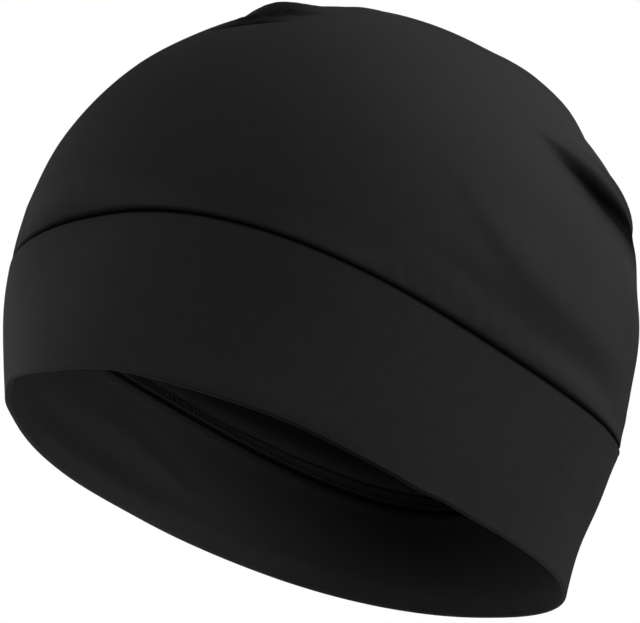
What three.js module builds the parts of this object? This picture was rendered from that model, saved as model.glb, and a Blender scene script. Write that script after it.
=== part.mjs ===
// A thin stretch-knit skull cap: a hollow crown, a wide doubled band folded at the rim, and the
// overlocked seam allowance that stands up inside, where the crown is sewn to the band.
// Millimetres. +Z is up along the cap, the front of the head is at -Y, and the origin is the centre
// of the head opening. Angles are turns round +Z in degrees, from the front towards +X.
import * as THREE from "three";

// Sizes of the level sections, measured over the cloth
const openingLength = 190.6;
const openingWidth = 143.4;
const seamLength = 194;
const seamWidth = 164;
const fullestLength = 200.4;
const fullestWidth = 172.8;

// Roundness: 2 is an ellipse, more is squarer. Taper widens the back of the opening over its front
const openingRoundness = 2.24;
const seamRoundness = 2.64;
const fullestRoundness = 2.1;
const archRoundness = 2.1;
const openingTaper = 0.042;

// Heights over the rim. The seam stands highest over the forehead and climbs again at the nape
const bandHeight = 42;
const bandFrontRise = 6.2;
const bandRightRise = 0.9;
const bandBrowRise = 1.7;
const napeRise = 8.6;
const rimWave = 1.6;
const rimRightDrop = 0.8;
const fullestHeight = 17.9;
const crownHeight = 116.4;

// The nape, right of the middle, where the cloth draws in at the seam. Degrees, then millimetres
const napeAngle = 160;
const napeSpread = 30;
const napeTuck = 4.4;

// How far the sections stand off the middle of the opening, to the right and to the back
const seamBack = -0.7;
const fullestRight = -0.9;
const fullestBack = -4.7;
const topBack = 5.1;

// Cloth
const knit = 1.2;
const bandLayers = 2;
const bandBow = 0.5;
const foreheadBow = 2.1;
const sewnGap = 0.3;
const seamRollDepth = 0.8;
const seamRollHeight = 3.6;
const allowanceHeight = 5.5;
const allowanceThickness = 1.5;

// Fineness of the faceted solids
const columns = 72;
const sideShares = [0, 0.03, 0.08, 0.17, 0.35, 0.65];
const archShares = [0, 0.07, 0.14, 0.2, 0.24, 0.27, 0.3, 0.33, 0.36, 0.4, 0.45, 0.5, 0.56, 0.62, 0.68,
  0.74, 0.8, 0.86, 0.91, 0.96];
const foldSteps = 16;

// Folds and gathers of the crown. Angles in degrees; heights are shares of the crown's height over
// the seam; wide, the half width on the path's upper and lower side, and out, how far the fold
// stands out, are shares of it too. Fade is the share of the path over which each end dies away.
const crownFolds = [
  { fold: "back crease", from: [82, 0.66], by: [104, 0.6], to: [142, 0.55],
    wideOver: 0.045, wideUnder: 0.045, out: -0.045, fadeIn: 0.7, fadeOut: 0.3 },
  { fold: "roll over the crease", from: [92, 0.71], by: [116, 0.655], to: [156, 0.64],
    wideOver: 0.05, wideUnder: 0.04, out: 0.018, fadeIn: 0.6, fadeOut: 0.5 },
  { fold: "flat above the roll", from: [92, 0.82], by: [120, 0.78], to: [156, 0.76],
    wideOver: 0.07, wideUnder: 0.06, out: -0.014, fadeIn: 0.5, fadeOut: 0.5 },
  { fold: "drape ridge", from: [60, 0.4], by: [90, 0.32], to: [142, 0.28],
    wideOver: 0.09, wideUnder: 0.045, out: 0.012, fadeIn: 0.45, fadeOut: 0.4 },
  { fold: "drape valley", from: [66, 0.31], by: [96, 0.22], to: [142, 0.2],
    wideOver: 0.05, wideUnder: 0.06, out: -0.01, fadeIn: 0.45, fadeOut: 0.4 },
  { fold: "hollow behind the ear", from: [112, 0.46], by: [138, 0.38], to: [176, 0.36],
    wideOver: 0.12, wideUnder: 0.12, out: -0.012, fadeIn: 0.4, fadeOut: 0.4 },
  { fold: "overhang at the nape", from: [112, 0.13], by: [138, 0.12], to: [172, 0.14],
    wideOver: 0.08, wideUnder: 0.05, out: 0.016, fadeIn: 0.4, fadeOut: 0.4 },
  { fold: "right shoulder", from: [76, 0.9], by: [106, 0.88], to: [140, 0.86],
    wideOver: 0.08, wideUnder: 0.08, out: 0.012, fadeIn: 0.4, fadeOut: 0.4 },
  { fold: "front gather", from: [-12, 0.84], by: [4, 0.82], to: [22, 0.83],
    wideOver: 0.06, wideUnder: 0.045, out: 0.022, fadeIn: 0.5, fadeOut: 0.5 },
  { fold: "tuck under the gather", from: [-10, 0.75], by: [10, 0.72], to: [34, 0.73],
    wideOver: 0.03, wideUnder: 0.03, out: -0.012, fadeIn: 0.5, fadeOut: 0.5 },
];

// Soft folds of the band where it hangs free on the far side. Heights are shares of the band's.
const bandFolds = [
  { fold: "bulge at the temple", from: [292, 0.55], by: [326, 0.5], to: [358, 0.5],
    wideOver: 0.45, wideUnder: 0.45, out: 0.008, fadeIn: 0.5, fadeOut: 0.5 },
  { fold: "upper ripple", from: [322, 0.7], by: [292, 0.5], to: [262, 0.3],
    wideOver: 0.14, wideUnder: 0.14, out: 0.02, fadeIn: 0.4, fadeOut: 0.5 },
  { fold: "lower ripple", from: [336, 0.45], by: [306, 0.28], to: [284, 0.1],
    wideOver: 0.14, wideUnder: 0.14, out: -0.025, fadeIn: 0.4, fadeOut: 0.5 },
];

const degree = Math.PI / 180;
const up = new THREE.Vector3(0, 0, 1);

// A level section's point at an angle
function section(angle, length, width, roundness) {
  const across = Math.sin(angle);
  const along = Math.cos(angle);
  const sum = Math.abs(across / (width / 2)) ** roundness + Math.abs(along / (length / 2)) ** roundness;
  const reach = sum ** (-1 / roundness);
  return new THREE.Vector2(reach * across, -reach * along);
}

// How near an angle is to the nape, from 0 to 1
function napeShare(angle) {
  const turned = Math.atan2(Math.sin(angle - napeAngle * degree), Math.cos(angle - napeAngle * degree));
  return Math.exp(-((turned / (napeSpread * degree)) ** 2));
}

function rimPoint(angle) {
  const flat = section(angle, openingLength, openingWidth, openingRoundness);
  const height = rimWave * Math.cos(2 * angle) - rimRightDrop * Math.sin(angle);
  return new THREE.Vector3(flat.x * (1 - openingTaper * Math.cos(angle)), flat.y, height);
}

function seamPoint(angle) {
  const flat = section(angle, seamLength, seamWidth, seamRoundness);
  const nape = napeShare(angle);
  flat.multiplyScalar(1 - napeTuck * nape / flat.length());
  const height = bandHeight + bandFrontRise * Math.cos(angle) + bandRightRise * Math.sin(angle)
    + bandBrowRise * Math.cos(3 * angle) + napeRise * nape;
  return new THREE.Vector3(flat.x, flat.y + seamBack, height);
}

// The crown before its folds. Climb runs from 0 at the seam through 1 at the fullest section to 2 at the top
function plainCrown(angle, climb) {
  const fullest = section(angle, fullestLength, fullestWidth, fullestRoundness);
  const level = bandHeight + fullestHeight;
  if (climb < 1) {
    const seam = seamPoint(angle);
    const left = (1 - climb) ** 2;
    return new THREE.Vector3(
      (fullest.x + fullestRight) * (1 - left) + seam.x * left,
      (fullest.y + fullestBack) * (1 - left) + seam.y * left,
      seam.z + (level - seam.z) * climb,
    );
  }
  const turn = (climb - 1) * Math.PI / 2;
  const rise = Math.sin(turn) ** (2 / archRoundness);
  const reach = Math.max(0, Math.cos(turn)) ** (2 / archRoundness);
  return new THREE.Vector3(
    fullest.x * reach + fullestRight * (1 - rise),
    fullest.y * reach + fullestBack + (topBack - fullestBack) * rise,
    level + (crownHeight - fullestHeight) * rise,
  );
}

// The band before its folds. Climb runs from 0 at the rim to 1 at the seam
function plainBand(angle, climb) {
  const point = rimPoint(angle).lerp(seamPoint(angle), climb);
  const out = new THREE.Vector3(Math.sin(angle), -Math.cos(angle), 0);
  const bow = bandBow + foreheadBow * Math.cos(angle);
  return point.addScaledVector(out, bow * Math.sin(Math.PI * climb));
}

// Outward direction of a surface given by a function of angle and climb
function outward(surface, angle, climb) {
  const step = 1e-3;
  const lower = Math.max(0, climb - step);
  const round = surface(angle + step, climb).sub(surface(angle - step, climb));
  const rising = surface(angle, climb + step).sub(surface(angle, lower));
  return round.cross(rising).normalize();
}

// Level direction out of the cloth, square to its ring
function levelOut(surface, angle, climb) {
  const step = 1e-3;
  const round = surface(angle + step, climb).sub(surface(angle - step, climb));
  return round.cross(up).normalize();
}

// A climb at which a surface passes a height, found by halving
function climbAt(surface, angle, height, highest) {
  let low = 0;
  let high = highest;
  for (let k = 0; k < 24; k += 1) {
    const middle = (low + high) / 2;
    if (surface(angle, middle).z < height) low = middle;
    else high = middle;
  }
  return (low + high) / 2;
}

// A fold's path over a surface, as points from its first end to its last
function foldPath(fold, surface, foot, tall, highest) {
  const path = new THREE.QuadraticBezierCurve(
    new THREE.Vector2(...fold.from),
    new THREE.Vector2(...fold.by),
    new THREE.Vector2(...fold.to),
  );
  return path.getPoints(foldSteps).map(({ x, y }) => {
    const angle = x * degree;
    return surface(angle, climbAt(surface, angle, foot + y * tall, highest));
  });
}

// The nearest point of a path, and its place along the path from 0 to 1
function nearestOn(path, point) {
  const legs = path.length - 1;
  const best = { far: Infinity };
  for (let k = 0; k < legs; k += 1) {
    const leg = new THREE.Line3(path[k], path[k + 1]);
    const along = leg.closestPointToPointParameter(point, true);
    const spot = leg.at(along, new THREE.Vector3());
    const far = spot.distanceTo(point);
    if (far < best.far) Object.assign(best, { far, spot, share: (k + along) / legs });
  }
  return best;
}

// How far the folds push a point of the surface out
function foldOut(point, folds, tall) {
  let out = 0;
  for (const { fold, path } of folds) {
    const { far, spot, share } = nearestOn(path, point);
    const fade = THREE.MathUtils.smoothstep(share, 0, fold.fadeIn)
      * (1 - THREE.MathUtils.smoothstep(share, 1 - fold.fadeOut, 1));
    const wide = (point.z > spot.z ? fold.wideOver : fold.wideUnder) * tall;
    out += fold.out * tall * fade * Math.exp(-((far / wide) ** 2));
  }
  return out;
}

const crownPaths = crownFolds.map((fold) => (
  { fold, path: foldPath(fold, plainCrown, bandHeight, crownHeight, 2) }
));
const bandPaths = bandFolds.map((fold) => ({ fold, path: foldPath(fold, plainBand, 0, bandHeight, 1) }));

function foldedCrown(angle, climb) {
  const point = plainCrown(angle, climb);
  const out = outward(plainCrown, angle, Math.min(climb, 1.99));
  return point.addScaledVector(out, foldOut(point, crownPaths, crownHeight));
}

function foldedBand(angle, climb) {
  const point = plainBand(angle, climb);
  return point.addScaledVector(outward(plainBand, angle, climb), foldOut(point, bandPaths, bandHeight));
}

// How far the cloth rolls in at a height over or under the seam
function seamRoll(height) {
  const left = Math.max(0, 1 - Math.abs(height) / seamRollHeight);
  return seamRollDepth * left ** 3;
}

// A point of the crown, so deep inside its outer face
function crownPoint(angle, climb, depth) {
  if (climb >= 2) return foldedCrown(angle, 2).addScaledVector(up, -depth);
  const point = foldedCrown(angle, climb);
  const over = plainCrown(angle, climb).z - seamPoint(angle).z;
  const out = levelOut(foldedCrown, angle, climb);
  out.lerp(outward(foldedCrown, angle, climb), THREE.MathUtils.smoothstep(over, 0, seamRollHeight)).normalize();
  return point.addScaledVector(out, -depth - seamRoll(over));
}

// A closed mesh from rings of points, one ring after the other, with a single point at each pole
function ringMesh(name, rings, color, roughness) {
  const corners = [];
  const faces = [];
  const starts = rings.map((ring) => {
    const start = corners.length / 3;
    ring.forEach((point) => corners.push(point.x, point.y, point.z));
    return start;
  });
  rings.forEach((ring, index) => {
    const next = (index + 1) % rings.length;
    const count = Math.max(ring.length, rings[next].length);
    if (count === 1) return;
    for (let k = 0; k < count; k += 1) {
      const here = starts[index] + k % ring.length;
      const beside = starts[index] + (k + 1) % ring.length;
      const above = starts[next] + k % rings[next].length;
      const aboveBeside = starts[next] + (k + 1) % rings[next].length;
      if (here !== beside) faces.push(here, beside, above);
      if (above !== aboveBeside) faces.push(beside, aboveBeside, above);
    }
  });
  const geometry = new THREE.BufferGeometry();
  geometry.setAttribute("position", new THREE.Float32BufferAttribute(corners, 3));
  geometry.setIndex(faces);
  geometry.computeVertexNormals();
  const mesh = new THREE.Mesh(geometry, new THREE.MeshStandardMaterial({ color, roughness, metalness: 0 }));
  mesh.name = name;
  return mesh;
}

function ring(pointAt) {
  return Array.from({ length: columns }, (_, k) => pointAt(k * 2 * Math.PI / columns));
}

// The crown: its outer face from the seam to the top, and its inner face back down
function crown() {
  const climbs = [...sideShares, ...archShares.map((share) => 1 + share)];
  const lift = sewnGap / 2;
  const at = (climb, depth) => ring((angle) => {
    const point = crownPoint(angle, climb, depth);
    return climb === 0 ? point.addScaledVector(up, lift) : point;
  });
  const rings = [
    ...climbs.map((climb) => at(climb, 0)),
    [crownPoint(0, 2, 0)],
    [crownPoint(0, 2, knit)],
    ...climbs.reverse().map((climb) => at(climb, knit)),
  ];
  return ringMesh("crown", rings, 0x202022, 0.85);
}

// The band: one strip of knit doubled over at the rim, so its wall is two layers
function band() {
  const wall = bandLayers * knit;
  const fold = wall / 2;
  const bandPoint = (angle, climb, depth) => {
    const point = foldedBand(angle, climb);
    const under = seamPoint(angle).z - point.z;
    return point.addScaledVector(levelOut(foldedBand, angle, climb), -depth - seamRoll(under));
  };
  const wallRing = (climb, depth) => ring((angle) => bandPoint(angle, climb, depth));
  const rimRing = (turn) => ring((angle) => {
    const start = bandPoint(angle, 0, fold - fold * Math.cos(turn));
    return start.addScaledVector(up, fold - fold * Math.sin(turn));
  });
  const topRing = (depth) => ring((angle) => bandPoint(angle, 1, depth).addScaledVector(up, -sewnGap / 2));
  const outside = [0.25, 0.5, 0.75, 0.92, 0.97];
  const inside = [0.96, 0.75, 0.5, 0.25];
  const turns = [180, 135, 90, 45, 0].map((turn) => turn * degree);
  const rings = [
    ...outside.map((climb) => wallRing(climb, 0)),
    topRing(0),
    topRing(wall),
    ...inside.map((climb) => wallRing(climb, wall)),
    ...turns.map(rimRing),
  ];
  return ringMesh("band", rings, 0x212123, 0.85);
}

// The seam allowance: the trimmed edges of crown and band, overlocked together and turned up
function seamAllowance() {
  const heights = [0.06, 0.3, 0.65, 0.9, 1].map((share) => share * allowanceHeight);
  const at = (height, depth) => ring((angle) => {
    const climb = climbAt(plainCrown, angle, seamPoint(angle).z + height, 2);
    return crownPoint(angle, climb, knit + sewnGap + depth);
  });
  const rings = [
    ...heights.map((height) => at(height, 0)),
    ...heights.reverse().map((height) => at(height, allowanceThickness)),
  ];
  return ringMesh("seam_allowance", rings, 0x29292b, 0.9);
}

const skullCap = new THREE.Group();
skullCap.add(crown(), band(), seamAllowance());

export default skullCap;
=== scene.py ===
# %% [markdown]
# A thin stretch-knit skull cap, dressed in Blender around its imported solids.
#
# The real cap is three layers of sewing. A dome of knit in one layer is the crown. A strip of the
# same knit, doubled over, is the band, and its fold is the rim. Where they meet, the trimmed edges
# stand up inside under a row of overlock stitches. This lesson makes each of them as cloth with two
# faces and real folds, then gives them one black jersey. Sizes are in metres.

# %% Load the frame
import math

import bpy
import numpy as np
from mathutils import Matrix, Vector, noise


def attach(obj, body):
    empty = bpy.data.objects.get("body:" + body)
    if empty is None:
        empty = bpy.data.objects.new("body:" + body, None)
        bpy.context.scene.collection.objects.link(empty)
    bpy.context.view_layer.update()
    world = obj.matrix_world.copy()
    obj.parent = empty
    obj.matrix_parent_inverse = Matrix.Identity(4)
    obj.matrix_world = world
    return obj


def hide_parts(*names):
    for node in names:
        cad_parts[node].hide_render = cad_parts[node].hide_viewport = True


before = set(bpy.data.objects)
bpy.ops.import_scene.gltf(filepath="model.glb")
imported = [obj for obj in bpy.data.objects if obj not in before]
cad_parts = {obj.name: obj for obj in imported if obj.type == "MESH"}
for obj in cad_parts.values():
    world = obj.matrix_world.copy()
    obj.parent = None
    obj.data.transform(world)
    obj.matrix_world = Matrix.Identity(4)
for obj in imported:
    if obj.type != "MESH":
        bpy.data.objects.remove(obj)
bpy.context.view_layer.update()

# %% [markdown]
# ## The camera
#
# The cap is seen from a little under its rim, three quarters from the front, so the far inside of the
# band shows. A long lens from 0.9 m keeps the curves calm. The camera is set first, because every
# fold is judged from it.

# %% Place the camera
mm = 0.001
LOOK_TURN = math.radians(51.94)
LOOK_RISE = math.radians(-20.14)
LOOK_ROLL = math.radians(-16.52)
LOOK_DISTANCE = 0.9029
LENS = 164.9
CAP_MIDDLE = Vector((0, 0, 60 * mm))
FRAME_OFFSET = (-5.35 * mm, 4.79 * mm)


def camera_axes(turn, rise, roll):
    """Right, up and back of a camera that looks at the cap from that side."""
    back = Vector((math.sin(turn) * math.cos(rise), -math.cos(turn) * math.cos(rise), math.sin(rise)))
    right = (-back).cross(Vector((0, 0, 1))).normalized()
    up = right.cross(-back)
    return (
        math.cos(roll) * right - math.sin(roll) * up,
        math.sin(roll) * right + math.cos(roll) * up,
        back,
    )


def place_camera():
    right, up, back = camera_axes(LOOK_TURN, LOOK_RISE, LOOK_ROLL)
    camera = bpy.data.objects.new("camera", bpy.data.cameras.new("camera"))
    bpy.context.scene.collection.objects.link(camera)
    place = CAP_MIDDLE + LOOK_DISTANCE * back + FRAME_OFFSET[0] * right + FRAME_OFFSET[1] * up
    camera.matrix_world = Matrix.Translation(place) @ Matrix((right, up, back)).transposed().to_4x4()
    camera.data.lens = LENS
    camera.data.clip_start = 0.05
    bpy.context.scene.camera = camera
    return camera


camera = place_camera()
print("camera at", [round(x, 3) for x in camera.matrix_world.translation])

# %% [markdown]
# ## The level sections
#
# A cap on a head is nearly a stack of egg-shaped rings. Three of them are named by their length and
# width: the opening, the seam and the fullest ring of the crown. A superellipse draws each one, with
# a roundness over 2 where the ring is squarer than an ellipse. The sizes are those of the solids. No
# sewn edge is even, so two short tables then raise the rim and the seam, or move them out, at a few
# named angles.

# %% Sizes of the sections
OPENING = {"length": 190.6 * mm, "width": 143.4 * mm, "roundness": 2.24}
SEAM = {"length": 194 * mm, "width": 164 * mm, "roundness": 2.64}
FULLEST = {"length": 200.4 * mm, "width": 172.8 * mm, "roundness": 2.1}
OPENING_TAPER = 0.042
ARCH_ROUNDNESS = 2.1
BAND_HEIGHT = 42 * mm
CROWN_HEIGHT = 116.4 * mm
FULLEST_HEIGHT = 17.9 * mm
NAPE = {"angle": 160, "spread": 30, "rise": 8.6 * mm, "tuck": 4.4 * mm}
RIM_WAVES = {"twice_round": 1.6 * mm, "side": -0.8 * mm}
SEAM_WAVES = {"front": 6.2 * mm, "side": 0.9 * mm, "three_times_round": 1.7 * mm}
BAND_BOW = {"even": 0.5 * mm, "front": 2.1 * mm}
SHIFT_COLUMNS = ("angle", "spread", "rise", "out")
RIM_SHIFTS = (
    (340.5, 5, 2.3 * mm, 0.3 * mm),
    (348, 7, 1.2 * mm, -0.4 * mm),
    (14, 11, 0.8 * mm, 0),
    (50, 12, 0.6 * mm, 0),
    (80, 5, -0.35 * mm, 0),
    (89, 5, 0.35 * mm, 0),
    (146, 12, 0, -0.4 * mm),
    (212, 28, -0.6 * mm, 0),
    (298, 22, -0.9 * mm, 0),
    (322, 9, 0, -0.7 * mm),
    (336, 6, -0.5 * mm, -0.1 * mm),
)
SEAM_SHIFTS = (
    (335, 14, -1.5 * mm, 1.3 * mm),
    (128, 12, 0.8 * mm, -0.3 * mm),
    (150, 11, 4.8 * mm, -1.2 * mm),
)
SEAM_BACK = -0.7 * mm
FULLEST_SIDE = -0.9 * mm
FULLEST_BACK = -4.7 * mm
TOP_BACK = 5.1 * mm
KNIT = 1.0 * mm
BAND_WALL = 2.4 * mm
RIM_WALL = 1.5 * mm
COLUMNS = 360
angles = np.linspace(0, 2 * math.pi, COLUMNS, endpoint=False)


# %% Draw a section and shift it
def section(size):
    """Across and along of a level ring at every angle, from the forehead towards +X."""
    across, along = np.sin(angles), np.cos(angles)
    power = size["roundness"]
    total = np.abs(2 * across / size["width"]) ** power + np.abs(2 * along / size["length"]) ** power
    reach = total ** (-1 / power)
    return reach * across, -reach * along


def bell(degrees, spread):
    """1 at an angle and 0 away from it."""
    off = angles - math.radians(degrees)
    return np.exp(-(np.arctan2(np.sin(off), np.cos(off)) / math.radians(spread)) ** 2)


def shifted(ring, shifts):
    """The ring with its named places raised and moved out."""
    out = np.stack([np.sin(angles), -np.cos(angles), 0 * angles], -1)
    for row in shifts:
        shift = dict(zip(SHIFT_COLUMNS, row))
        near = bell(shift["angle"], shift["spread"])[:, None]
        ring = ring + near * (out * shift["out"] + np.array((0, 0, shift["rise"])))
    return ring


# %% Place the rim and the seam
def rim_ring():
    x, y = section(OPENING)
    x = x * (1 - OPENING_TAPER * np.cos(angles))
    z = RIM_WAVES["twice_round"] * np.cos(2 * angles) + RIM_WAVES["side"] * np.sin(angles)
    return shifted(np.stack([x, y, z], -1), RIM_SHIFTS)


def seam_ring():
    x, y = section(SEAM)
    near = bell(NAPE["angle"], NAPE["spread"])
    drawn_in = 1 - NAPE["tuck"] * near / np.hypot(x, y)
    z = BAND_HEIGHT + SEAM_WAVES["front"] * np.cos(angles) + SEAM_WAVES["side"] * np.sin(angles)
    z = z + SEAM_WAVES["three_times_round"] * np.cos(3 * angles) + NAPE["rise"] * near
    return shifted(np.stack([x * drawn_in, y * drawn_in + SEAM_BACK, z], -1), SEAM_SHIFTS)


rim, seam = rim_ring(), seam_ring()
print("rim round", round(float(np.linalg.norm(rim - np.roll(rim, 1, 0), axis=1).sum()), 3), "m")

# %% [markdown]
# ## Surfaces as grids of points
#
# Each cloth is first one grid of points, a row for each height and a column for each angle. A grid is
# easy to fold, because the direction out of the cloth at each point comes from its neighbours. The
# crown's rows climb from the seam through the fullest ring and over an arch to the top.

# %% Make the plain grids
SIDE_CLIMBS = [0, 0.006, 0.015, 0.03, 0.05, 0.08, 0.12, 0.17, 0.23, 0.3, 0.38, 0.47, 0.57, 0.68, 0.79, 0.9]
ARCH_ROWS = 150
CREASED = {"turn": math.radians(35), "spread": math.radians(11), "crowding": 1.6}
ARCH_SAMPLES = 600
BAND_ROWS = 54
BAND_CROWDING = 1.8


def arch_turns():
    """Angles up the arch for its rows, crowded where the cloth creases."""
    turns = np.linspace(0, math.pi / 2, ARCH_SAMPLES)
    crowd = 1 + CREASED["crowding"] * np.exp(-((turns - CREASED["turn"]) / CREASED["spread"]) ** 2)
    passed = np.cumsum(crowd) - crowd[0]
    return np.interp(np.linspace(0, passed[-1], ARCH_ROWS + 1), passed, turns)[:-1]


# %% Lay the rows of crown and band
def crown_grid():
    x, y = section(FULLEST)
    level = BAND_HEIGHT + FULLEST_HEIGHT
    rows = []
    for climb in SIDE_CLIMBS:
        left = (1 - climb) ** 2
        wide = np.stack([x + FULLEST_SIDE, y + FULLEST_BACK], -1)
        flat = wide * (1 - left) + seam[:, :2] * left
        height = seam[:, 2] + (level - seam[:, 2]) * climb
        rows.append(np.column_stack([flat, height]))
    for turn in arch_turns():
        rise = math.sin(turn) ** (2 / ARCH_ROUNDNESS)
        reach = math.cos(turn) ** (2 / ARCH_ROUNDNESS)
        rows.append(np.stack([
            x * reach + FULLEST_SIDE * (1 - rise),
            y * reach + FULLEST_BACK + (TOP_BACK - FULLEST_BACK) * rise,
            np.full(COLUMNS, level + (CROWN_HEIGHT - FULLEST_HEIGHT) * rise),
        ], -1))
    return np.array(rows)


def band_grid():
    out = np.stack([np.sin(angles), -np.cos(angles), 0 * angles], -1)
    bow = BAND_BOW["even"] + BAND_BOW["front"] * np.cos(angles)
    rows = []
    foot = rim + np.array((0, 0, RIM_WALL / 2))
    for climb in 1 - (1 - np.linspace(0, 1, BAND_ROWS)) ** BAND_CROWDING:
        bowed = out * (bow * math.sin(math.pi * climb))[:, None]
        rows.append(foot * (1 - climb) + seam * climb + bowed)
    return np.array(rows)


# %% Find the directions out of a grid
def unit(vectors):
    return vectors / np.maximum(np.linalg.norm(vectors, axis=-1, keepdims=True), 1e-12)


def out_of(grid):
    """Directions out of a grid's cloth, and the level directions out of it."""
    around = np.roll(grid, -1, 1) - np.roll(grid, 1, 1)
    rising = np.gradient(grid, axis=0)
    return unit(np.cross(around, rising)), unit(np.cross(around, (0, 0, 1)))


crown_plain, band_plain = crown_grid(), band_grid()
print("crown grid", crown_plain.shape[:2], "band grid", band_plain.shape[:2])

# %% [markdown]
# ## Folds
#
# Stretched jersey has few folds, and each of them runs along a path over the cloth. A table names
# them. A path goes from one angle and height to another and bends towards a third. Around it the
# cloth stands out or in by a bell curve, which narrows at both ends. A roll may also sag down over the
# crease below it, and gathered cloth may crumple. Heights and sizes are shares of the crown's or the
# band's height. A fold can also paint shade on its cloth, which darkens it later. The same
# function makes every fold, so a new one is only one more row.

# %% Name the folds
FOLD_COLUMNS = (
    "start", "bend", "end", "over", "under", "out", "sag", "fade_in", "fade_out", "painted_shade", "crumple",
)
# The second last column is painted shade. The row under the roll only paints shade and moves no cloth; the
# gather rows paint some too.
CROWN_FOLDS = {
    "back crease": ((80, 0.62), (104, 0.6), (140, 0.6), 0.026, 0.06, -0.042, 0, 0.8, 0.5, 0, 0),
    "painted shade under the roll": ((82, 0.635), (102, 0.53), (160, 0.635), 0.054, 0.066, 0, 0, 0.5, 0.36, 0.97, 0),
    "roll over the crease": (
        (86, 0.68), (114, 0.71), (162, 0.63), 0.038, 0.03, 0.036, 0.018, 1.5, 0.3, 0, 0,
    ),
    "flat above the roll": ((92, 0.82), (120, 0.79), (156, 0.76), 0.06, 0.05, -0.012, 0, 0.5, 0.5, 0, 0),
    "drape ridge": ((62, 0.42), (92, 0.03), (142, 0.24), 0.1, 0.045, 0.012, 0, 0.5, 0.4, 0, 0),
    "drape valley": ((58, 0.16), (94, 0.05), (140, 0.13), 0.05, 0.048, -0.012, 0, 0.5, 0.4, 0, 0),
    "ridge over the seam": ((58, 0.03), (95, 0.025), (134, 0.025), 0.04, 0.02, 0.004, 0, 0.4, 0.4, 0, 0),
    "flat over the temple": ((318, 0.13), (334, 0.16), (352, 0.13), 0.1, 0.08, -0.004, 0, 0.4, 0.4, 0, 0),
    "full over the temple": ((356, 0.72), (344, 0.46), (332, 0.2), 0.16, 0.16, 0.005, 0, 0.3, 0.3, 0, 0),
    "hollow behind the ear": ((112, 0.5), (138, 0.47), (174, 0.44), 0.09, 0.09, -0.01, 0, 0.4, 0.4, 0, 0),
    "overhang at the nape": ((112, 0.13), (138, 0.12), (172, 0.14), 0.08, 0.05, 0.012, 0, 0.4, 0.4, 0, 0),
    "shoulder": ((70, 0.9), (104, 0.88), (140, 0.84), 0.08, 0.06, 0.012, 0, 0.4, 0.4, 0, 0),
    "front gather": ((-14, 0.83), (6, 0.8), (24, 0.82), 0.06, 0.035, 0.021, 0, 0.5, 0.5, 0, 0),
    "crumpled gather": (
        (-4, 0.735), (10, 0.74), (30, 0.78), 0.07, 0.05, 0, 0, 0.4, 0.5, 0.7, 0.015,
    ),
    "tuck under the gather": (
        (-4, 0.69), (12, 0.69), (24, 0.715), 0.018, 0.014, -0.01, 0, 0.4, 0.6, 0.8, 0,
    ),
    "low rise beside the gather": (
        (22, 0.86), (30, 0.84), (40, 0.85), 0.05, 0.05, 0.006, 0, 0.4, 0.4, 0, 0,
    ),
}
# The rim rolled in gets a little painted shade too.
BAND_FOLDS = {
    "long ripple": ((320, 0.42), (285, 0.4), (240, 0.2), 0.12, 0.12, 0.022, 0, 0.3, 0.5, 0, 0),
    "roll by the rim": ((316, 0.16), (290, 0.12), (250, 0.06), 0.1, 0.1, -0.02, 0, 0.3, 0.4, 0, 0),
    "short ripple": ((274, 0.75), (262, 0.58), (252, 0.4), 0.1, 0.1, 0.016, 0, 0.4, 0.5, 0, 0),
    "roll between the ripples": (
        (292, 0.66), (272, 0.52), (250, 0.34), 0.1, 0.1, -0.014, 0, 0.4, 0.4, 0, 0,
    ),
    "flat under the temple": ((308, 0.45), (332, 0.4), (356, 0.45), 0.4, 0.4, -0.022, 0, 0.4, 0.4, 0, 0),
    "full over the nape": ((122, 0.72), (146, 0.68), (172, 0.6), 0.24, 0.24, 0.026, 0, 0.4, 0.4, 0, 0),
    "rim rolled in": ((18, 0.0), (46, 0.0), (72, 0.0), 0.07, 0.07, -0.03, 0, 0.4, 0.4, 0.15, 0),
}
CRUMPLE_SIZE = 4.2 * mm
CRUMPLE_SEED = 5.0
SHADE_GAIN = 1.6
FOLD_TIP = 0.45
PATH_STEPS = 24


# %% Find what lies near a fold
def spot_on(grid, angle, height):
    """The grid's point at an angle in degrees and a height."""
    column = grid[:, int(round(angle)) % COLUMNS]
    return [np.interp(height, column[:, 2], column[:, axis]) for axis in range(3)]


def fold_path(grid, fold, foot, tall):
    start, bend, end = (np.array(fold[key], float) for key in ("start", "bend", "end"))
    points = []
    for t in np.linspace(0, 1, PATH_STEPS + 1):
        angle, share = start * (1 - t) ** 2 + bend * 2 * t * (1 - t) + end * t ** 2
        points.append(spot_on(grid, angle, foot + share * tall))
    return np.array(points)


def smooth(t):
    t = np.clip(t, 0, 1)
    return t * t * (3 - 2 * t)


def nearest_on(path, points):
    """For each point, how far the path is, the height there and the share of the path passed."""
    legs = path[1:] - path[:-1]
    best = np.full(points.shape[:-1], np.inf)
    height, passed = np.zeros_like(best), np.zeros_like(best)
    for k, (foot, leg) in enumerate(zip(path[:-1], legs)):
        along = np.clip((points - foot) @ leg / (leg @ leg), 0, 1)
        spot = foot + along[..., None] * leg
        far = np.linalg.norm(points - spot, axis=-1)
        nearer = far < best
        best[nearer], height[nearer] = far[nearer], spot[..., 2][nearer]
        passed[nearer] = ((k + along) / len(legs))[nearer]
    return best, height, passed


# %% Fold the cloth
def softness(grid, size, height, seed):
    """Slow, shallow unevenness that no cloth is without."""
    flat = grid.reshape(-1, 3) / size
    values = [noise.noise(Vector(point) + Vector((seed, 0, 0))) for point in flat]
    return height * np.array(values).reshape(grid.shape[:2])


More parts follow.
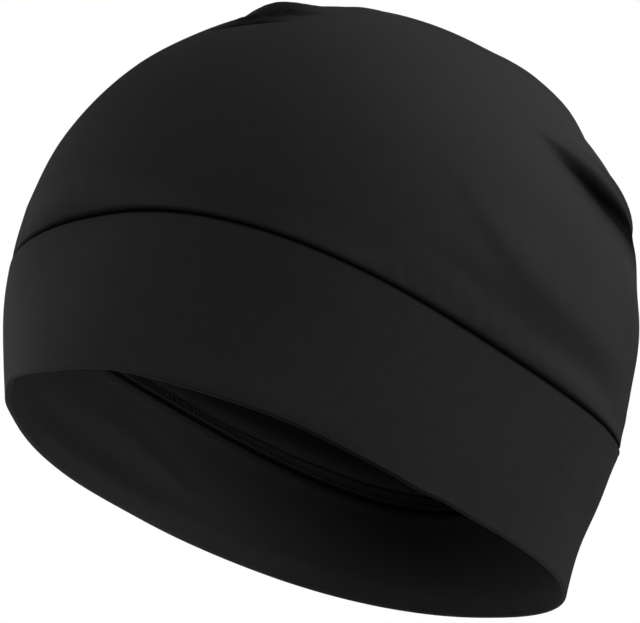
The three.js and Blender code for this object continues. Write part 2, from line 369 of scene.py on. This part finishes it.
def fold_cloth(grid, folds, foot, tall):
    """The grid with its folds and its sagging rolls, and how much shade is painted on each point."""
    out, _ = out_of(grid)
    folded, painted_shade = grid.copy(), np.zeros(grid.shape[:2])
    rough = softness(grid, CRUMPLE_SIZE, 1, CRUMPLE_SEED)
    for row in folds.values():
        fold = dict(zip(FOLD_COLUMNS, row))
        far, height, passed = nearest_on(fold_path(grid, fold, foot, tall), grid)
        faded_out = smooth((passed - 1 + fold["fade_out"]) / fold["fade_out"])
        fade = smooth(passed / fold["fade_in"]) * (1 - faded_out)
        wide = np.where(grid[..., 2] > height, fold["over"], fold["under"]) * tall
        wide = wide * (FOLD_TIP + (1 - FOLD_TIP) * fade)
        near = (fade * np.exp(-(far / wide) ** 2))[..., None]
        folded += out * near * (fold["out"] + fold["crumple"] * rough[..., None]) * tall
        folded -= np.array((0, 0, 1)) * near * fold["sag"] * tall
        # Painted shade falls off with the distance from the fold.
        shade_paint = np.clip(SHADE_GAIN * near[..., 0], 0, 1)
        painted_shade = np.maximum(painted_shade, fold["painted_shade"] * shade_paint)
    return folded, painted_shade


crown_folded, crown_painted_shade = fold_cloth(crown_plain, CROWN_FOLDS, BAND_HEIGHT, CROWN_HEIGHT)
band_folded, band_painted_shade = fold_cloth(band_plain, BAND_FOLDS, 0, BAND_HEIGHT)
print("deepest fold", round(float(np.abs(crown_folded - crown_plain).max()) / mm, 1), "mm")

# %% [markdown]
# ## Meshes from rings
#
# A piece of cloth has two faces and an edge, so its mesh is closed: rings of points run up the outer
# face, over the edge and back down the inner face. One function joins such rings into a mesh. It
# also lays a UV map in real metres, round the cap and along the cloth, so the knit has its true size,
# and keeps for each point how much shade is painted on it, as an attribute that the material reads.

# %% Join rings into a mesh
AROUND = 0.585


def ring_mesh(name, rings, painted_shade, poles=None):
    """A closed mesh from rings. The last ring joins the first, or each end closes on its own pole."""
    rings = np.array(rings)
    count, columns = rings.shape[:2]
    steps = np.linalg.norm(np.roll(rings, -1, 0) - rings, axis=-1).mean(1)
    climbs = np.concatenate([[0], np.cumsum(steps)])
    across = np.arange(columns + 1) / columns * AROUND
    vertices = rings.reshape(-1, 3).tolist()
    faces, corners = [], []
    for r in range(count if poles is None else count - 1):
        here, above = r * columns, (r + 1) % count * columns
        for k in range(columns):
            beside = (k + 1) % columns
            faces.append((here + k, here + beside, above + beside, above + k))
            corners += [(across[k], climbs[r]), (across[k + 1], climbs[r])]
            corners += [(across[k + 1], climbs[r + 1]), (across[k], climbs[r + 1])]
    for end, pole in zip((0, count - 1), poles or ()):
        vertices.append(list(pole))
        for k in range(columns):
            pair = (end * columns + k, end * columns + (k + 1) % columns)
            faces.append((*pair, len(vertices) - 1) if end else (*pair[::-1], len(vertices) - 1))
            corners += [(across[k], climbs[end])] * 3
    piece = mesh_piece(name, vertices, faces, corners)
    # Each point keeps how much shade is painted on it, from 0 to 1.
    depth = np.zeros(len(vertices), np.float32)
    depth[:count * columns] = np.clip(np.broadcast_to(painted_shade, (count, columns)), 0, 1).ravel()
    piece.data.attributes.new("painted_shade", "FLOAT", "POINT").data.foreach_set("value", depth)
    return piece


# %% Make any mesh a piece
def mesh_piece(name, vertices, faces, corners=None):
    mesh = bpy.data.meshes.new(name)
    mesh.from_pydata(vertices, [], faces)
    if corners is not None:
        mesh.uv_layers.new(name="cloth").data.foreach_set("uv", np.array(corners, np.float32).ravel())
    mesh.shade_smooth()
    mesh.validate()
    piece = bpy.data.objects.new(name, mesh)
    bpy.context.scene.collection.objects.link(piece)
    print(name, len(mesh.polygons), "faces")
    return piece


# %% [markdown]
# ## Where cloth is sewn
#
# At the seam the cloth turns in on both sides, so the seam is a groove and not a line. It ends in a
# slit, and shade is painted on the groove and the slit, so that they look nearly black. The overlock
# stitch also eases the knit a little, which leaves small soft puckers beside it. All of this dies away
# within a few millimetres, so functions of the distance from the seam give it.

# %% Turn the cloth in at the seam
SEAM_DEPTH = 0.95 * mm
SEAM_ROUND = 1.35 * mm
SEAM_EASE = 3.6 * mm
EASE_DEPTH = 0.25 * mm
SLIT_DEPTH = 2.1 * mm
SLIT_GAP = 0.12 * mm
PUCKER_DEPTH = 0.12 * mm
PUCKER_REACH = 6 * mm
PUCKER_COUNT = 74
# Reach of the painted shade in the outer seam's groove, wider on the +X side.
GROOVE_SHADE = {"even": 0.78, "side": 0.3, "sharpness": 0.7}


def turn_in(height):
    """How far in the cloth lies at a height over or under the seam: a soft slope, then a quarter round."""
    slope = smooth(1 - np.abs(height) / SEAM_EASE)
    left = np.clip(1 - np.abs(height) / SEAM_ROUND, 0, 1)
    return EASE_DEPTH * slope + SEAM_DEPTH * (1 - np.sqrt(1 - left ** 2))


def seam_painted_shade(height):
    """Painted shade in the seam's groove, from 0 to 1. It reaches widest on the +X side."""
    reach = SEAM_ROUND * (GROOVE_SHADE["even"] + GROOVE_SHADE["side"] * np.sin(angles))
    return np.clip(1 - np.abs(height) / reach, 0, 1) ** GROOVE_SHADE["sharpness"]


def puckers(height, shift):
    """Small waves along the seam, uneven in size."""
    size = 0.55 + 0.45 * np.sin(angles * 7 + shift) * np.sin(angles * 11 + 2 * shift)
    wave = size * np.sin(PUCKER_COUNT * angles + 1.3 * np.sin(5 * angles + shift))
    near = np.abs(height) / PUCKER_REACH
    return PUCKER_DEPTH * wave * near * np.exp(1 - near ** 2 - near)


# %% [markdown]
# ## The crown
#
# The crown is one layer. Its outer face follows the folded grid, turned in at the seam. Its inner face
# lies one thickness of knit behind. Near the seam that thickness is measured level, so that crown and
# band meet edge to edge. Slow, shallow unevenness keeps the plain parts from looking turned on a
# lathe. High inside, little light comes in, so shade is painted on the inner face there, and at its foot by
# the seam.

# %% Make the crown
INNER_STEP = 3
# Painted shade on the crown's inner face: at its foot by the seam, and high inside.
INNER_SHADE_HEIGHT = 1.6 * mm
INSIDE_SHADE_HEIGHT = 6 * mm
INSIDE_SHADE = 0.7
CROWN_SOFT = {"size": 38 * mm, "height": 0.35 * mm, "seed": 3.0, "from_seam": 20 * mm}
over_seam = crown_plain[..., 2] - seam[:, 2]


def crown_rings(inside):
    """The crown's rings from the seam to the top, on its outer or its inner face."""
    normal, level = out_of(crown_folded)
    blend = smooth(over_seam / SEAM_EASE)[..., None]
    out = unit(level * (1 - blend) + normal * blend)
    soft = softness(crown_plain, CROWN_SOFT["size"], CROWN_SOFT["height"], CROWN_SOFT["seed"])
    soft = soft * smooth(over_seam / CROWN_SOFT["from_seam"])
    sewn = (SLIT_DEPTH + SLIT_GAP - KNIT) * smooth(1 - over_seam / SEAM_EASE)
    depth = KNIT + sewn if inside else turn_in(over_seam) - puckers(over_seam, 1.0)
    return crown_folded + out * (soft - depth)[..., None]


def crown_top(depth):
    return (0, TOP_BACK, BAND_HEIGHT + CROWN_HEIGHT - depth)


def thinned(rows):
    """Rows near the seam all kept, and every third of the rest."""
    near = len(SIDE_CLIMBS)
    return [*rows[:near], *rows[near::INNER_STEP]]


_, seam_level = out_of(crown_folded[:2])
crown_slit = crown_folded[0] - seam_level[0] * SLIT_DEPTH + np.array((0, 0, SLIT_GAP / 3))
outer, inner = crown_rings(False), crown_rings(True)
# Painted shade inside the crown, and in the seam's groove outside.
inner_seam_shade = np.sqrt(np.clip(1 - over_seam / INNER_SHADE_HEIGHT, 0, 1))
inner_painted_shade = np.maximum(inner_seam_shade, INSIDE_SHADE * smooth(over_seam / INSIDE_SHADE_HEIGHT - 1))
outer_painted_shade = np.maximum(crown_painted_shade, seam_painted_shade(over_seam))
# Painted shade covers the whole slit, the outer seam's groove and the folds' creases.
crown = ring_mesh(
    "crown_cloth",
    [*thinned(inner)[::-1], crown_slit, *outer],
    [*thinned(inner_painted_shade)[::-1], np.ones(COLUMNS), *outer_painted_shade],
    poles=(crown_top(KNIT), crown_top(0)),
)

# %% [markdown]
# ## The band
#
# The band is one strip doubled over, so a cut through it is a narrow U. The rings go up the outside,
# down between the two layers, round the inside of the fold, up between the layers again, down the
# inside and round the fold. Towards the seam both layers are squeezed together, as sewing does, and
# at the rim they lie flat on each other. Shade is painted on the underside of the fold, most on the +X
# side.

# %% Make the band
LAYER = 0.44
FOLD_TURNS = 9
GAP_TURNS = 4
GAP_END = 12
GAP_STEP = 3
RIM_TAPER = 9 * mm
ROLL = {"out": 0.4 * mm, "under": 2.6 * mm, "spread": 1.8 * mm}
EDGE = {"rise": 0.16 * mm, "under": 1.5 * mm, "spread": 0.6 * mm, "waves": 160}
BAND_SOFT = {"size": 30 * mm, "height": 0.3 * mm, "seed": 8.0}
# Painted shade on the band's inner face just under the seam.
BAND_INNER_SHADE = {"from_seam": 0.2 * mm, "over": 0.6 * mm}
RIM_SHADE = {"depth": 0.75, "angle": 65, "spread": 42}
under_seam = seam[:, 2] - band_plain[..., 2]


def band_rings(share):
    """The band's rings from rim to seam, so far through its wall: 0 is the outside and 1 the inside."""
    _, level = out_of(band_folded)
    near = smooth(1 - under_seam / SEAM_EASE)
    at_edge = np.exp(-((under_seam - EDGE["under"]) / EDGE["spread"]) ** 2)
    edge = EDGE["rise"] * at_edge * (0.7 + 0.6 * np.sin(EDGE["waves"] * angles))
    outside = turn_in(under_seam) - edge
    wall = RIM_WALL + (BAND_WALL - RIM_WALL) * smooth((band_plain[..., 2] - rim[:, 2]) / RIM_TAPER)
    inside = wall + ROLL["out"] * np.exp(-((under_seam - ROLL["under"]) / ROLL["spread"]) ** 2)
    soft = softness(band_plain, BAND_SOFT["size"], BAND_SOFT["height"], BAND_SOFT["seed"])
    wave = puckers(under_seam, 2.0) + soft * (1 - near)
    rings = band_folded + level * (wave - outside - share * (inside - outside))[..., None]
    rings[..., 2] -= SLIT_GAP * near ** 3
    return rings


# %% Turn the fold at the rim
def fold_rings(low, high, turns):
    """Half circles under the lowest rings, from one share of the wall to another."""
    start, end = band_rings(low)[0], band_rings(high)[0]
    middle, half = (start + end) / 2, (end - start) / 2
    radius = np.linalg.norm(half, axis=-1)[:, None]
    rings = []
    for turn in np.linspace(0, math.pi, turns + 2)[1:-1]:
        rings.append(middle - half * math.cos(turn) - np.array((0, 0, 1)) * radius * math.sin(turn))
    return rings


band_outer, band_inner = band_rings(0), band_rings(1)
band_slit = [
    band_folded[-1] - seam_level[0] * depth - np.array((0, 0, SLIT_GAP * 1.3))
    for depth in (SLIT_DEPTH, SLIT_DEPTH + SLIT_GAP)
]
outer_gap = band_rings(LAYER)[:-GAP_END:GAP_STEP]
inner_gap = band_rings(1 - LAYER)[:-GAP_END:GAP_STEP]
# Painted shade on the band's inner face, fading below the seam.
band_inner_shade = np.clip(1 - (under_seam - BAND_INNER_SHADE["from_seam"]) / BAND_INNER_SHADE["over"], 0, 1)
# Painted shade on the underside of the fold at the rim, most on the +X side.
rim_shade = RIM_SHADE["depth"] * bell(RIM_SHADE["angle"], RIM_SHADE["spread"])
# Painted shade: the outer seam's groove and folds, both slits, the inner face by the seam and the fold's
# underside.
band_parts = [
    (band_outer, np.maximum(seam_painted_shade(under_seam), band_painted_shade)),
    (band_slit[:1], [1]),
    (outer_gap[::-1], [0]),
    (fold_rings(LAYER, 1 - LAYER, GAP_TURNS), [0]),
    (inner_gap, [0]),
    (band_slit[1:], [1]),
    (band_inner[::-1], band_inner_shade[::-1]),
    (fold_rings(1, 0, FOLD_TURNS), [rim_shade]),
]
band_painted_shades = [
    np.broadcast_to(np.reshape(tuck, (len(tuck), -1)), (len(rings), COLUMNS)) for rings, tuck in band_parts
]
band = ring_mesh(
    "band_cloth",
    np.concatenate([rings for rings, _ in band_parts]),
    np.concatenate(band_painted_shades),
)

# %% [markdown]
# ## The seam allowance
#
# Inside, three trimmed edges stand up together over the seam: one of the crown and two of the band.
# From below it shows as a slightly lighter strip on the far wall, with a black gap under it. It is a
# low ring of cloth with rounded edges that waves a little, because nothing holds its top. Shade is
# painted on its foot, and a little on a stretch of it by the nape.

# %% Make the seam allowance
ALLOWANCE_HEIGHT = 5 * mm
ALLOWANCE_WALL = 1.7 * mm
ALLOWANCE_TOP = 0.7 * mm
ALLOWANCE_FOOT = 0.6 * mm
ALLOWANCE_OFF = 0.15 * mm
ALLOWANCE_ROWS = 8
# Painted shade on the stretch of the allowance by the nape.
ALLOWANCE_SHADE = {"depth": 0.25, "angle": 205, "spread": 28}
EDGE_TURNS = 5
LOW_ROWS = 30


def inside_crown(height, depth):
    """A ring so high over the seam and so far in from the crown's inner face."""
    ring = np.empty((COLUMNS, 3))
    for k in range(COLUMNS):
        column = inner[:LOW_ROWS, k]
        level = seam[k, 2] + height[k]
        ring[k] = [np.interp(level, column[:, 2], column[:, axis]) for axis in range(3)]
    _, out = out_of(np.stack([ring, ring + np.array((0, 0, mm))]))
    return ring - out[0] * np.reshape(depth, (-1, 1))


# %% Stand the edges up
def allowance_ring(share, through):
    """Share 0 is the allowance's foot and 1 its trimmed top. Through it, 0 is its back and 1 its front."""
    tall = ALLOWANCE_HEIGHT + 0.25 * mm * np.sin(9 * angles) * np.sin(14 * angles + 1)
    lean = 0.2 * mm * (1 + np.sin(13 * angles + 2 * np.sin(4 * angles))) * max(share, 0) ** 2
    wall = ALLOWANCE_WALL + (ALLOWANCE_TOP - ALLOWANCE_WALL) * share
    height = ALLOWANCE_FOOT + share * (tall - ALLOWANCE_FOOT)
    return inside_crown(height, ALLOWANCE_OFF + through * wall + lean)


def allowance_rings():
    edge = ALLOWANCE_WALL / 2 / ALLOWANCE_HEIGHT
    back = [allowance_ring(share, 0) for share in np.linspace(edge, 1 - edge, ALLOWANCE_ROWS)]
    front = [allowance_ring(share, 1) for share in np.linspace(1 - edge, edge, ALLOWANCE_ROWS)]
    top, foot = [], []
    for turn in np.linspace(0, math.pi, EDGE_TURNS + 2)[1:-1]:
        through = (1 - math.cos(turn)) / 2
        top.append(allowance_ring(1 - edge + edge * math.sin(turn), through))
        foot.append(allowance_ring(edge - edge * math.sin(turn), 1 - through))
    return [*back, *top, *front, *foot]


# Painted shade: a little by the nape, and all of the foot.
allowance_shade = ALLOWANCE_SHADE["depth"] * bell(ALLOWANCE_SHADE["angle"], ALLOWANCE_SHADE["spread"])
allowance_painted_shade = np.tile(allowance_shade, (2 * ALLOWANCE_ROWS + 2 * EDGE_TURNS, 1))
allowance_painted_shade[1 - EDGE_TURNS:] = 1
allowance = ring_mesh("seam_edges", allowance_rings()[::-1], allowance_painted_shade[::-1])

# %% [markdown]
# ## Overlock stitches
#
# The overlock thread runs from the needle line near the seam up over the trimmed edge and back, once
# for each stitch. Each stitch is the same short path, so they are worked out in one loop and joined
# into one mesh of thin tubes.

# %% Sew the overlock
STITCH = 2.1 * mm
THREAD = 0.12 * mm
THREAD_SIDES = 5
STITCH_POINTS = 7
NEEDLE_LINE = 0.22
OVER_FROM = 0.82


def tube(points, radius, closed=False):
    """Vertices and faces of a thin tube along points."""
    points = np.array(points)
    if closed:
        along = unit(np.roll(points, -1, 0) - np.roll(points, 1, 0))
    else:
        along = unit(np.gradient(points, axis=0))
    side = unit(np.cross(along, (0.3, 0.2, 0.93)))
    lift = np.cross(along, side)
    vertices, faces = [], []
    for turn in np.arange(THREAD_SIDES) / THREAD_SIDES * 2 * math.pi:
        vertices.append(points + radius * (side * math.cos(turn) + lift * math.sin(turn)))
    vertices = np.stack(vertices, 1).reshape(-1, 3)
    for k in range(len(points) if closed else len(points) - 1):
        for s in range(THREAD_SIDES):
            here, beside = k * THREAD_SIDES + s, k * THREAD_SIDES + (s + 1) % THREAD_SIDES
            up_here = (here + THREAD_SIDES) % len(vertices)
            faces.append((here, beside, (beside + THREAD_SIDES) % len(vertices), up_here))
    if not closed:
        faces.append(tuple(range(THREAD_SIDES))[::-1])
        faces.append(tuple(range(len(vertices) - THREAD_SIDES, len(vertices))))
    return vertices, faces


# %% Lay the thread
def overlock():
    round_length = float(np.linalg.norm(seam - np.roll(seam, 1, 0), axis=1).sum())
    count = int(round_length / STITCH)
    up = np.linspace(NEEDLE_LINE, 1, STITCH_POINTS)
    down = np.linspace(1, NEEDLE_LINE, STITCH_POINTS)
    shares = np.concatenate([up, down[1:]])
    rings = {share: (allowance_ring(share, 1), allowance_ring(share, 0)) for share in set(shares)}
    path = []
    for k in range(count):
        for j, share in enumerate(shares[:-1]):
            front, back = rings[share]
            at = (k + j / (len(shares) - 1)) / count * COLUMNS
            low, part = int(at) % COLUMNS, at % 1
            near = front[low] * (1 - part) + front[(low + 1) % COLUMNS] * part
            far = back[low] * (1 - part) + back[(low + 1) % COLUMNS] * part
            over = smooth((share - OVER_FROM) / (1 - OVER_FROM))
            spot = near * (1 - over / 2) + far * over / 2
            off_cloth = unit(near - far) * THREAD * 0.6 * (1 - over)
            path.append(spot + off_cloth + np.array((0, 0, THREAD * over)))
    return mesh_piece("overlock_threads", *tube(path, THREAD, closed=True))


threads = overlock()

# %% [markdown]
# ## Shader sums in Python
#
# A knit is a repeating height, so its material is mostly arithmetic on the UV map. Wiring that by
# hand is hard to read. A small class wraps one output socket, so that sums on it add Math nodes and
# read like any formula.

# %% Wrap a socket
class Wire:
    """One output of a material's node tree."""

    def __init__(self, tree, socket=None):
        self.tree = tree
        self.socket = socket

    def add(self, kind, settings=None, inputs=None, output=0):
        """A new node of a kind. Its settings are set first, then its inputs, by name or number."""
        node = self.tree.nodes.new(kind)
        for name, value in (settings or {}).items():
            setattr(node, name, value)
        for name, value in (inputs or {}).items():
            if isinstance(value, Wire):
                self.tree.links.new(value.socket, node.inputs[name])
            else:
                node.inputs[name].default_value = value
        return Wire(self.tree, node.outputs[output] if node.outputs else None)

    def maths(self, operation, *values):
        return self.add("ShaderNodeMath", {"operation": operation}, dict(enumerate(values)))

    def __add__(self, other):
        return self.maths("ADD", self, other)

    __radd__ = __add__

    def __sub__(self, other):
        return self.maths("SUBTRACT", self, other)

    def __rsub__(self, other):
        return self.maths("SUBTRACT", other, self)

    def __mul__(self, other):
        return self.maths("MULTIPLY", self, other)

    __rmul__ = __mul__

    def blend(self, low, high):
        """A colour between two colours, by this value. Each is three numbers or a wire."""
        low, high = (end if isinstance(end, Wire) else (*end, 1) for end in (low, high))
        return self.add("ShaderNodeMix", {"data_type": "RGBA"}, {0: self, 6: low, 7: high}, 2)


# %% [markdown]
# ## Black jersey
#
# Jersey shows columns of small V shapes, the wales, about 0.6 mm wide. Each V is two legs that slant
# apart. The height of the legs only feeds a bump, since it is far too fine for mesh. The colour is a
# soft black that varies a little in three sizes: clouds, mottling and single fibres. Loose fibres give
# it a faint sheen. Where the mesh asks for painted shade, a second, nearly black shader is mixed in as
# painted shade, because soft boxes alone don't leave grooves and creases as black as they are on the
# real cap.

# %% Make the knit material
WALE = 0.62 * mm
COURSE = 0.48 * mm
KNIT_RELIEF = 0.07 * mm
JERSEY = {
    # Near-black colour of the painted shade.
    "deep": (0.0008, 0.0008, 0.0008),
    "dark": (0.0085, 0.0085, 0.009),
    "light": (0.0205, 0.0205, 0.021),
}
JERSEY_ROUGHNESS = 0.75


def knit_height(wire):
    cloth = wire.add("ShaderNodeUVMap", {"uv_map": "cloth"})
    across = cloth.add("ShaderNodeSeparateXYZ", None, {0: cloth}, 0) * (1 / WALE)
    along = cloth.add("ShaderNodeSeparateXYZ", None, {0: cloth}, 1) * (1 / COURSE)
    off_middle = across.maths("FRACT", across) - 0.5
    side = off_middle.maths("ABSOLUTE", off_middle)
    off_leg = side - 0.25
    leg = 1 - off_leg * off_leg * 14
    wave = across.maths("COSINE", (along + side * 1.5) * (2 * math.pi))
    return leg * (0.72 + 0.28 * wave)


def speckle(place, scale, detail, roughness=0.5):
    """Noise all over a piece, finer with a greater scale."""
    inputs = {"Vector": place, "Scale": scale, "Detail": detail, "Roughness": roughness}
    return place.add("ShaderNodeTexNoise", None, inputs)


# %% Mix the jersey
def knit_material(name, colours, roughness):
    material = bpy.data.materials.new(name)
    material.use_nodes = True
    tree = material.node_tree
    tree.nodes.clear()
    wire = Wire(tree)
    place = wire.add("ShaderNodeTexCoord", output=3)
    cloudy = speckle(place, 26, 3, 0.55)
    mottled = speckle(place, 240, 3, 0.6)
    fibre = speckle(place, 2600, 2)
    # How much shade is painted on this point, read from the mesh.
    painted_shade = wire.add("ShaderNodeAttribute", {"attribute_name": "painted_shade"}, None, 2)
    tone = cloudy * 0.4 + mottled * 0.45 + fibre * 0.15
    height = knit_height(wire) + mottled * 1.1
    bump = wire.add("ShaderNodeBump", None, {"Strength": 1, "Distance": KNIT_RELIEF, "Height": height})
    lit = wire.add("ShaderNodeBsdfPrincipled", None, {
        "Base Color": tone.blend(colours["dark"], colours["light"]),
        "Roughness": roughness + (fibre - 0.5) * 0.1,
        "Specular IOR Level": 0.12,
        "Sheen Weight": 0.03,
        "Sheen Roughness": 0.5,
        "Sheen Tint": (0.6, 0.6, 0.62, 1),
        "Normal": bump,
    })
    # A nearly black shader, mixed in as painted shade.
    shade_paint = wire.add("ShaderNodeBsdfPrincipled", None, {
        "Base Color": (*colours["deep"], 1),
        "Roughness": 0.9,
        "Specular IOR Level": 0.02,
    })
    shader = wire.add("ShaderNodeMixShader", None, {0: painted_shade, 1: lit, 2: shade_paint})
    wire.add("ShaderNodeOutputMaterial", None, {"Surface": shader})
    return material


jersey = knit_material("black_jersey", JERSEY, JERSEY_ROUGHNESS)
for piece in (crown, band, allowance):
    piece.data.materials.append(jersey)

# %% [markdown]
# ## Thread
#
# Overlock thread is smoother than the knit, so it is a little shinier and lighter.

# %% Make the thread material
def thread_material():
    material = bpy.data.materials.new("black_thread")
    material.use_nodes = True
    tree = material.node_tree
    tree.nodes.clear()
    wire = Wire(tree)
    place = wire.add("ShaderNodeTexCoord", output=3)
    twist = speckle(place, 4000, 1)
    shader = wire.add("ShaderNodeBsdfPrincipled", None, {
        "Base Color": twist.blend((0.009, 0.009, 0.0095), (0.02, 0.02, 0.021)),
        "Roughness": 0.55 + twist * 0.15,
        "Specular IOR Level": 0.15,
    })
    wire.add("ShaderNodeOutputMaterial", None, {"Surface": shader})
    return material


threads.data.materials.append(thread_material())

# %% [markdown]
# ## The studio
#
# The room and the floor look pale to the camera but throw hardly any light on the cap. Six soft boxes
# light it instead. They stand at its +X side, behind it, at its forehead and at its -X side, and one is
# nearly overhead. They reach too little of the inside of the far band, so one small card under the nape
# lifts that. A table holds the boxes, so that each can be set without reading the function.

# %% Light the studio
FLOOR_LEVEL = -550 * mm
FLOOR_HALF = 6
FLOOR_GLOW = 0.85
ROOM_LIGHT = 0.03
BOX_COLUMNS = ("turn", "rise", "distance", "size", "power")
SOFT_BOXES = {
    "low_right_box": (97, -17, 0.9, 0.35, 3.15),
    "high_right_box": (142, 50, 1.6, 0.9, 18),
    "high_front_box": (7, 50, 1.6, 0.9, 3.3),
    "left_box": (-38, 0, 1.6, 0.9, 8.6),
    "back_left_box": (-83, 0, 1.6, 0.9, 4.4),
    "top_box": (52, 80, 1.6, 0.9, 5),
}


def soft_box(name, turn, rise, distance, size, power):
    """A square soft box that looks at the cap from a turn and a rise in degrees."""
    _, _, back = camera_axes(math.radians(turn), math.radians(rise), 0)
    lamp = bpy.data.lights.new(name, "AREA")
    lamp.size = size
    lamp.energy = power
    box = bpy.data.objects.new(name, lamp)
    bpy.context.scene.collection.objects.link(box)
    box.location = CAP_MIDDLE + back * distance
    box.rotation_euler = back.to_track_quat("Z", "Y").to_euler()
    box.visible_camera = False
    return box


def bounce_card(name, place, aim, size, spread, power):
    """A small card at a place that throws a narrow beam at an aim."""
    card = soft_box(name, 0, 0, 1, size, power)
    card.location = Vector(place)
    card.rotation_euler = (card.location - Vector(aim)).to_track_quat("Z", "Y").to_euler()
    card.data.spread = math.radians(spread)


# %% Make the room and the floor
def make_room():
    world = bpy.data.worlds.new("white_room")
    world.use_nodes = True
    world.node_tree.nodes.clear()
    wire = Wire(world.node_tree)
    seen = wire.add("ShaderNodeLightPath", output=0)
    strength = ROOM_LIGHT + seen * (1 - ROOM_LIGHT)
    light = wire.add("ShaderNodeBackground", None, {"Color": (1, 1, 1, 1), "Strength": strength})
    wire.add("ShaderNodeOutputWorld", None, {"Surface": light})
    bpy.context.scene.world = world


def make_floor():
    signs = ((-1, -1), (1, -1), (1, 1), (-1, 1))
    corners = [(x * FLOOR_HALF, y * FLOOR_HALF, FLOOR_LEVEL) for x, y in signs]
    floor = mesh_piece("floor", corners, [(0, 1, 2, 3)])
    material = bpy.data.materials.new("pale_floor")
    material.use_nodes = True
    tree = material.node_tree
    tree.nodes.clear()
    wire = Wire(tree)
    seen = wire.add("ShaderNodeLightPath", output=0)
    paint = wire.add("ShaderNodeBsdfPrincipled", None, {"Base Color": (0.8, 0.8, 0.8, 1), "Roughness": 0.9})
    glow = wire.add("ShaderNodeEmission", None, {"Color": (0.9, 0.9, 0.9, 1), "Strength": 1})
    shader = wire.add("ShaderNodeMixShader", None, {0: seen * FLOOR_GLOW, 1: paint, 2: glow})
    wire.add("ShaderNodeOutputMaterial", None, {"Surface": shader})
    floor.data.materials.append(material)


make_room()
make_floor()
for name, row in SOFT_BOXES.items():
    soft_box(name, **dict(zip(BOX_COLUMNS, row)))
bounce_card(
    "card_under_the_nape",
    place=(0.04, 0.05, -0.03),
    aim=(-0.066, -0.034, 0.026),
    size=0.05,
    spread=90,
    power=0.024,
)
bpy.context.scene.view_settings.view_transform = "Standard"
bpy.context.scene.view_settings.look = "None"

# %% [markdown]
# ## Put the pieces on the body
#
# Every piece rides on the cap's one body. Crown, band and seam edges stand for the solids that they
# dress, and the thread is laid on.

for piece, node, finish in (
    (crown, "crown", "crown_knit"),
    (band, "band", "band_knit"),
    (allowance, "seam_allowance", "overlock"),
):
    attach(piece, "root")
    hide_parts(node)
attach(threads, "root")

# %% Update the scene
bpy.context.view_layer.update()
